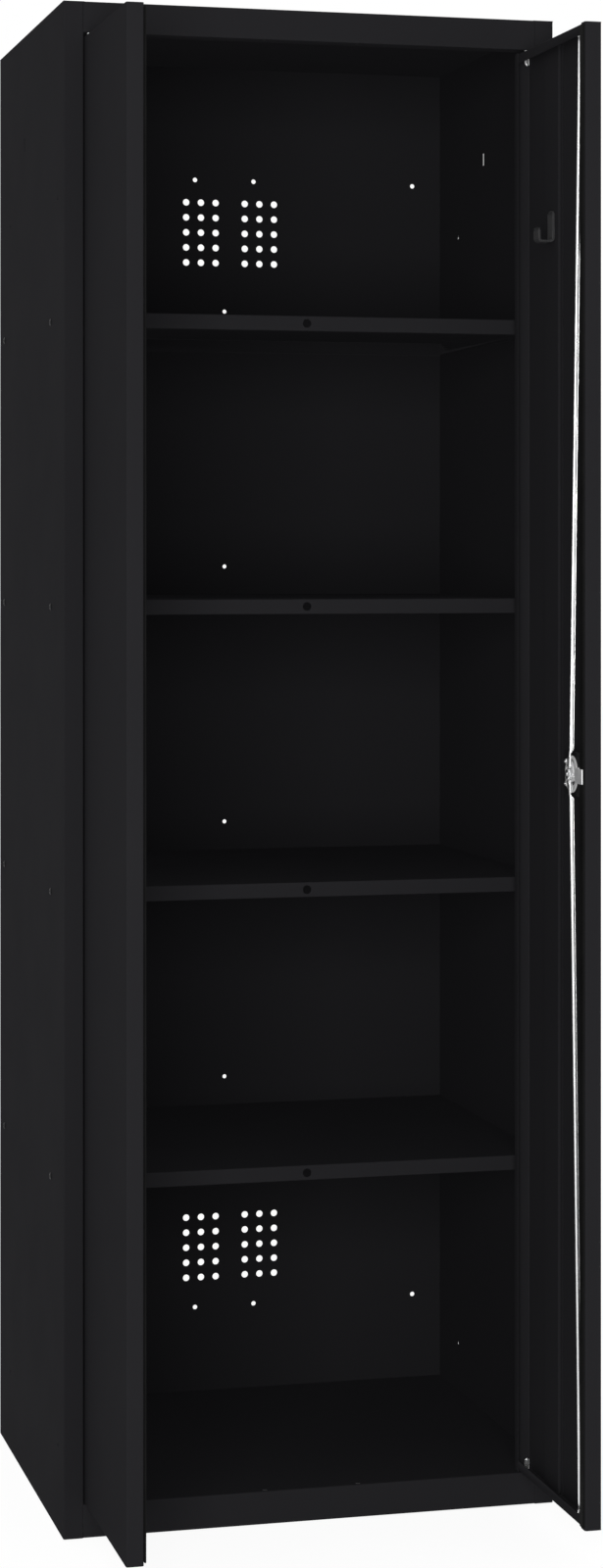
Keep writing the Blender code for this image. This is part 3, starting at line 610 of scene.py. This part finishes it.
def place_shelf_screws():
    """Screws through both walls into the ends of the shelves."""
    low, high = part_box("shelf_1_screw_right_front")
    head_h = SHELF_SCREW_HEAD[1]
    template = make_screw("shelf_screw", SHELF_SCREW_SHANK_R, SHELF_SCREW_HEAD, high.x - low.x - head_h)
    places = []
    for number in (1, 2, 3, 4):
        for side, side_name in ((-1, "left"), (1, "right")):
            for end_name in ("front", "back"):
                node = f"shelf_{number}_screw_{side_name}_{end_name}"
                low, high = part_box(node)
                seat = high.x - head_h if side > 0 else low.x + head_h
                middle = (low + high) / 2
                places.append((node, (side, 0.0, 0.0), (seat, middle.y, middle.z)))
    place_copies(template, places)


def place_case_screws():
    """The two screws of the lock case."""
    nodes = ("lock_case_screw_lower", "lock_case_screw_upper")
    low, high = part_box(nodes[0])
    head_h = CASE_SCREW_HEAD[1]
    template = make_screw("case_screw", CASE_SCREW_SHANK_R, CASE_SCREW_HEAD, high.x - low.x - head_h)
    places = []
    for node in nodes:
        low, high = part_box(node)
        middle = (low + high) / 2
        places.append((node, (-1.0, 0.0, 0.0), (low.x + head_h, middle.y, middle.z)))
    place_copies(template, places)


def place_hinge_pins():
    """Pivot pins with domed ends and rounded heads."""
    for end_name, up in (("top", 1.0), ("bottom", -1.0)):
        nodes = (f"left_{end_name}_pin", f"right_{end_name}_pin")
        low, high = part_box(nodes[0])
        head_r, length = (high.x - low.x) / 2, high.z - low.z
        neck = length - PIN_HEAD_H
        tip = [(radius, PIN_TIP_H - rise) for radius, rise in reversed(dome(PIN_R, PIN_TIP_H, 0.0))]
        head = [(head_r, neck), (head_r, length - PIN_HEAD_EDGE), (head_r - PIN_HEAD_EDGE, length)]
        pin = lathe("hinge_pin", tip + [(PIN_R, neck)] + head)
        smooth(pin)
        place_copies(pin, upright_places(nodes, up))


def place_hinge_bushes():
    """Bushes on the lower pins, between floor and door."""
    nodes = ("left_hinge_bush", "right_hinge_bush")
    low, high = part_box(nodes[0])
    rim, tall = (high.x - low.x) / 2, high.z - low.z
    wall = [(rim - BUSH_EDGE, 0.0), (rim, BUSH_EDGE), (rim, tall - BUSH_EDGE), (rim - BUSH_EDGE, tall)]
    bore = [(BUSH_BORE_R, tall), (BUSH_BORE_R, 0.0)]
    bush = lathe("hinge_bush", bore[1:] + wall + bore)
    smooth(bush)
    place_copies(bush, upright_places(nodes, 1.0))


def place_rod_guides():
    """Collars that lead the rods through the door's ends, tapered away from the flange."""
    low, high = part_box("upper_rod_guide")
    rim, tall = (high.y - low.y) / 2, high.z - low.z
    wall = [(wide * rim, rise * tall) for wide, rise in GUIDE_PROFILE]
    bore = [(GUIDE_BORE_R, tall), (GUIDE_BORE_R, 0.0)]
    collar = lathe("rod_guide", bore[1:] + wall + bore)
    smooth(collar)
    places = upright_places(["upper_rod_guide"], 1.0) + upright_places(["lower_rod_guide"], -1.0)
    place_copies(collar, places)


def make_rod(node, guide, up):
    """A round rod, rounded at its tip and flattened over the cam, with a pin in the cam's slot."""
    low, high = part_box(node)
    lock = (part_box("cam_nut")[0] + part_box("cam_nut")[1]) / 2
    cam_low, cam_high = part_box("lock_cam")
    guide_low, guide_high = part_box(guide)
    end_x = (guide_low.x + guide_high.x) / 2
    lock_x = (cam_low.x + cam_high.x) / 2
    flat_x = cam_low.x - ROD_BLADE_LIFT - ROD_BLADE_THICK / 2
    tip_z = high.z if up > 0 else low.z
    tip = [(radius, ROD_R - rise) for radius, rise in reversed(dome(ROD_R, ROD_R, 0.0))]
    rod = lathe(node + "_copy", tip + [(ROD_R, ROD_TIP_LENGTH)])
    put(rod, (0.0, 0.0, -up), (end_x, lock.y, tip_z))
    edit(rod)
    blade_z = lock.z + up * ROD_BLADE_FROM_LOCK
    start_z = tip_z - up * ROD_TIP_LENGTH
    pick(rod, "FACE", lambda place: near(place.z, start_z))
    extrude((lock_x - end_x, 0.0, blade_z - start_z))
    centre = (flat_x, lock.y, blade_z)
    extrude((flat_x - lock_x, 0.0, -up * ROD_BLADE_START))
    bpy.ops.transform.resize(value=(ROD_BLADE_THICK / 2 / ROD_R, ROD_BLADE_HALF / ROD_R, 1.0),
                             center_override=centre)
    pin_z = lock.z + up * ROD_PIN_FROM_LOCK
    extrude((0.0, 0.0, pin_z - blade_z + up * ROD_BLADE_START))
    for drop, share in ROD_END_ROUNDING:
        extrude((0.0, 0.0, -up * drop * ROD_BLADE_HALF))
        bpy.ops.transform.resize(value=(1.0, share, 1.0), center_override=centre)
    end_edit()
    tidy_shell(rod)
    back = flat_x - ROD_BLADE_THICK / 2
    reach = cam_high.x + ROD_PIN_BEYOND - back
    pin = lathe(node + "_pin", [(ROD_PIN_CROWN * ROD_PIN_HEAD_R, -ROD_PIN_HEAD_H),
                                (ROD_PIN_HEAD_R, -ROD_PIN_RIM_H), (ROD_PIN_HEAD_R, 0.0), (ROD_PIN_R, 0.0),
                                (ROD_PIN_R, reach)])
    put(pin, (1.0, 0.0, 0.0), (back, lock.y, pin_z))
    join(rod, pin)
    smooth(rod)
    stand_for(rod, node)


def make_hook():
    """The coat hook: a strip folded to a J, with rounded corners and edges."""
    low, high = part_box("door_hook")
    middle = (low + high) / 2
    clear_selection()
    bpy.ops.mesh.primitive_plane_add(size=1.0, location=(high.x, middle.y, middle.z),
                                     rotation=(0.0, math.radians(90.0), 0.0))
    bpy.context.object.scale = (high.z - low.z, high.y - low.y, 1.0)
    hook = settle("door_hook_copy")
    edit(hook)
    pick(hook, "EDGE", lambda place: near(place.z, low.z))
    extrude((low.x - high.x, 0.0, 0.0))
    extrude((0.0, 0.0, HOOK_TIP_H))
    pick(hook, "EDGE", lambda place: near(place.z, low.z))
    folds = [edge for edge in bmesh.from_edit_mesh(hook.data).edges if edge.select]
    for edge in folds:
        edge.select_set(abs(edge.verts[0].co.y - edge.verts[1].co.y) > HOOK_BEND)
    bmesh.update_edit_mesh(hook.data)
    bpy.ops.mesh.bevel(offset=HOOK_BEND, segments=HOOK_BEND_STEPS, affect="EDGES")
    bpy.ops.mesh.select_all(action="SELECT")
    bpy.ops.mesh.normals_make_consistent(inside=False)
    end_edit()
    leg = max(hook.data.polygons, key=lambda face: face.center.x)
    inward = 1.0 if leg.normal.x < 0 else -1.0
    apply_modifier(hook, "SOLIDIFY", thickness=HOOK_THICK, offset=inward, use_even_offset=True)
    edit(hook)
    tips = (high.z, low.z + HOOK_TIP_H)
    pick(hook, "EDGE", lambda place: any(near(place.z, tip) for tip in tips)
         and (near(place.y, low.y) or near(place.y, high.y)))
    bpy.ops.mesh.bevel(offset=HOOK_CORNER, segments=HOOK_CORNER_STEPS, affect="EDGES")
    end_edit()
    soften(hook, HOOK_EDGE, segments=HOOK_EDGE_STEPS)
    smooth(hook)
    stand_for(hook, "door_hook")


def make_nut():
    """A chamfered hexagon nut with its bore."""
    low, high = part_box("cam_nut")
    middle = (low + high) / 2
    radius = max(high.y - low.y, high.z - low.z) / 2
    tall = high.x - low.x
    nut = add_bar("cam_nut_copy", radius, tall, NUT_SIDES)
    corner = radius - NUT_CHAMFER
    rounded = lathe("nut_chamfer", [(corner, 0.0), (radius, NUT_CHAMFER_H), (radius, tall - NUT_CHAMFER_H),
                                    (corner, tall)])
    combine(nut, rounded, "INTERSECT")
    bore = add_bar("nut_bore", NUT_BORE_R, 3 * tall, ROUND_SIDES)
    put(bore, (0.0, 0.0, 1.0), (0.0, 0.0, -tall))
    combine(nut, bore, "DIFFERENCE")
    smooth(nut)
    put(nut, (-1.0, 0.0, 0.0), (high.x, middle.y, middle.z))
    stand_for(nut, "cam_nut")


def make_key_plug():
    """The key plug, with its keyway outside and its threaded stud inside."""
    low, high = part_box("lock_plug")
    middle = (low + high) / 2
    length = high.x - low.x
    cam_low, cam_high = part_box("lock_cam")
    tail_start, tail_end = cam_low.x - low.x, cam_high.x - low.x
    thread = [(THREAD_R - THREAD_END, 0.0)]
    for turn in range(int(tail_start / THREAD_PITCH)):
        thread.append((THREAD_R, THREAD_PITCH * (turn + 0.5)))
        thread.append((THREAD_R - THREAD_GROOVE, THREAD_PITCH * (turn + 1.0)))
    shoulder = tail_end + PLUG_PLAY
    tail = [(PLUG_TAIL_R, tail_start), (PLUG_TAIL_R, shoulder)]
    body = [(PLUG_R, shoulder), (PLUG_R, length - PLUG_EDGE), (PLUG_R - PLUG_EDGE, length)]
    plug = lathe("lock_plug_copy", thread + tail + body)
    wide, tall, deep = KEYWAY
    keyway = add_block("keyway", (-tall / 2, -wide / 2, length - deep), (tall / 2, wide / 2, length + deep))
    combine(plug, keyway, "DIFFERENCE")
    smooth(plug)
    put(plug, (1.0, 0.0, 0.0), (low.x, middle.y, middle.z))
    stand_for(plug, "lock_plug")


def make_key_rose():
    """The round plate round the key plug, crowned towards its middle."""
    low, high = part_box("lock_rose")
    middle = (low + high) / 2
    rim, tall = (high.z - low.z) / 2, high.x - low.x
    bore = PLUG_R + PLUG_PLAY
    inset, shoulder = ROSE_SHOULDER
    edge, edge_start = ROSE_BORE_EDGE
    rose = lathe("lock_rose_copy", [(bore, 0.0), (rim, 0.0), (rim, ROSE_RIM_H * tall),
                                    (rim - inset, shoulder * tall), (rim - ROSE_CROWN_INSET, tall),
                                    (bore + edge, tall), (bore, edge_start * tall), (bore, 0.0)],
                 sides=ROSE_SIDES)
    smooth(rose)
    put(rose, (1.0, 0.0, 0.0), (low.x, middle.y, middle.z))
    stand_for(rose, "lock_rose")


def make_closing_strips():
    """Closing strips with rounded edges; their near-black colour is painted shade for the dark band along
    each door's free edge.
    """
    for node in ("left_door_strip", "right_door_strip"):
        strip = add_block(node + "_copy", *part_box(node))
        soften(strip, STRIP_ROUND, segments=STRIP_STEPS)
        smooth(strip)
        stand_for(strip, node)


def camera_ray_share(nodes, links):
    """One where a camera, glossy or transmission ray looks, zero for the rest."""
    path = nodes.new("ShaderNodeLightPath")
    first = nodes.new("ShaderNodeMath")
    first.operation = "MAXIMUM"
    links.new(path.outputs["Is Camera Ray"], first.inputs[0])
    links.new(path.outputs["Is Glossy Ray"], first.inputs[1])
    both = nodes.new("ShaderNodeMath")
    both.operation = "MAXIMUM"
    links.new(first.outputs["Value"], both.inputs[0])
    links.new(path.outputs["Is Transmission Ray"], both.inputs[1])
    return both.outputs["Value"]


def light_world():
    """White surroundings to look at, with a softer fill for the shading."""
    world = bpy.data.worlds.new("studio")
    bpy.context.scene.world = world
    world.use_nodes = True
    nodes, links = world.node_tree.nodes, world.node_tree.links
    background = nodes["Background"]
    background.inputs["Color"].default_value = (1.0, 1.0, 1.0, 1.0)
    strength = nodes.new("ShaderNodeMapRange")
    strength.inputs["To Min"].default_value = FILL
    strength.inputs["To Max"].default_value = 1.0
    links.new(camera_ray_share(nodes, links), strength.inputs["Value"])
    links.new(strength.outputs["Result"], background.inputs["Strength"])


def add_softbox(name, place, aim, size, power):
    """A rectangular area lamp aimed at a point."""
    bpy.ops.object.light_add(type="AREA", location=place)
    lamp = bpy.context.object
    lamp.name = name
    lamp.data.shape = "RECTANGLE"
    lamp.data.size, lamp.data.size_y = size
    lamp.data.energy = power
    lamp.rotation_euler = (Vector(aim) - Vector(place)).to_track_quat("-Z", "Y").to_euler()


def add_shade_fill(name, towards, strength, highlights=True):
    """A weak lamp that casts no shadow, so that it lifts all faces turned to it evenly."""
    bpy.ops.object.light_add(type="SUN")
    lamp = bpy.context.object
    lamp.name = name
    lamp.data.energy = strength
    lamp.data.use_shadow = False
    lamp.visible_glossy = highlights
    lamp.rotation_euler = Vector(towards).to_track_quat("-Z", "Y").to_euler()


def dull_ground(name):
    """A rough material without gloss for the ground."""
    material = bpy.data.materials.new(name)
    material.use_nodes = True
    shader = material.node_tree.nodes["Principled BSDF"]
    shader.inputs["Roughness"].default_value = FLOOR_ROUGHNESS
    shader.inputs["Specular IOR Level"].default_value = 0.0
    return material, shader


def add_floor():
    """A pale floor that keeps the shadow under the cabinet; it glows white to the camera alone."""
    bpy.ops.mesh.primitive_plane_add(size=FLOOR_SIZE, location=(0.0, 0.0, -FLOOR_DROP))
    floor = bpy.context.object
    floor.name = "studio_floor"
    material, shader = dull_ground("studio_floor")
    nodes, links = material.node_tree.nodes, material.node_tree.links
    tone = nodes.new("ShaderNodeMapRange")
    tone.inputs["To Min"].default_value = FLOOR_BOUNCE
    tone.inputs["To Max"].default_value = FLOOR_SEEN
    glow = nodes.new("ShaderNodeEmission")
    strength = nodes.new("ShaderNodeMath")
    strength.operation = "MULTIPLY"
    strength.inputs[1].default_value = FLOOR_GLOW
    seen = camera_ray_share(nodes, links)
    links.new(seen, tone.inputs["Value"])
    links.new(tone.outputs["Result"], shader.inputs["Base Color"])
    links.new(seen, strength.inputs[0])
    links.new(strength.outputs["Value"], glow.inputs["Strength"])
    mix = nodes.new("ShaderNodeAddShader")
    links.new(shader.outputs["BSDF"], mix.inputs[0])
    links.new(glow.outputs["Emission"], mix.inputs[1])
    links.new(mix.outputs["Shader"], nodes["Material Output"].inputs["Surface"])
    floor.data.materials.append(material)


def add_painted_floor_shadow():
    """Painted shadow under the cabinet: a grey block that covers the floor's white glow there and shows
    through the keeper holes.
    """
    wall_low, wall_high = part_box("left_wall")
    reach = -wall_low.x - SHADE_INSET
    low = (-reach, wall_low.y + SHADE_INSET, -SHADE_DROP - SHADE_THICK)
    high = (reach, wall_high.y - SHADE_INSET, -SHADE_DROP)
    shadow_block = add_block("painted_floor_shadow", low, high)
    material, shader = dull_ground("painted_floor_shadow")
    shader.inputs["Base Color"].default_value = (*FLOOR_PAINTED_SHADOW, 1.0)
    shadow_block.data.materials.append(material)


bpy.context.scene.view_settings.view_transform = "Standard"
dress_sheets()
dress_lock_plates()
place_shelf_screws()
place_case_screws()
place_hinge_pins()
place_hinge_bushes()
place_rod_guides()
make_rod("upper_rod", "upper_rod_guide", 1.0)
make_rod("lower_rod", "lower_rod_guide", -1.0)
make_hook()
make_nut()
make_key_plug()
make_key_rose()
make_closing_strips()
add_camera()
light_world()
add_softbox("key_softbox", KEY_PLACE, KEY_AIM, KEY_SIZE, KEY_POWER)
add_shade_fill("side_fill", (1.0, 0.0, 0.0), SIDE_FILL)
add_shade_fill("top_fill", (0.0, 0.0, -1.0), TOP_FILL)
add_shade_fill("low_fill", (0.0, 0.0, 1.0), LOW_FILL)
add_shade_fill("right_fill", (-1.0, 0.0, 0.0), RIGHT_FILL)
add_shade_fill("back_fill", (0.0, -1.0, 0.0), BACK_FILL, highlights=False)
add_floor()
add_painted_floor_shadow()
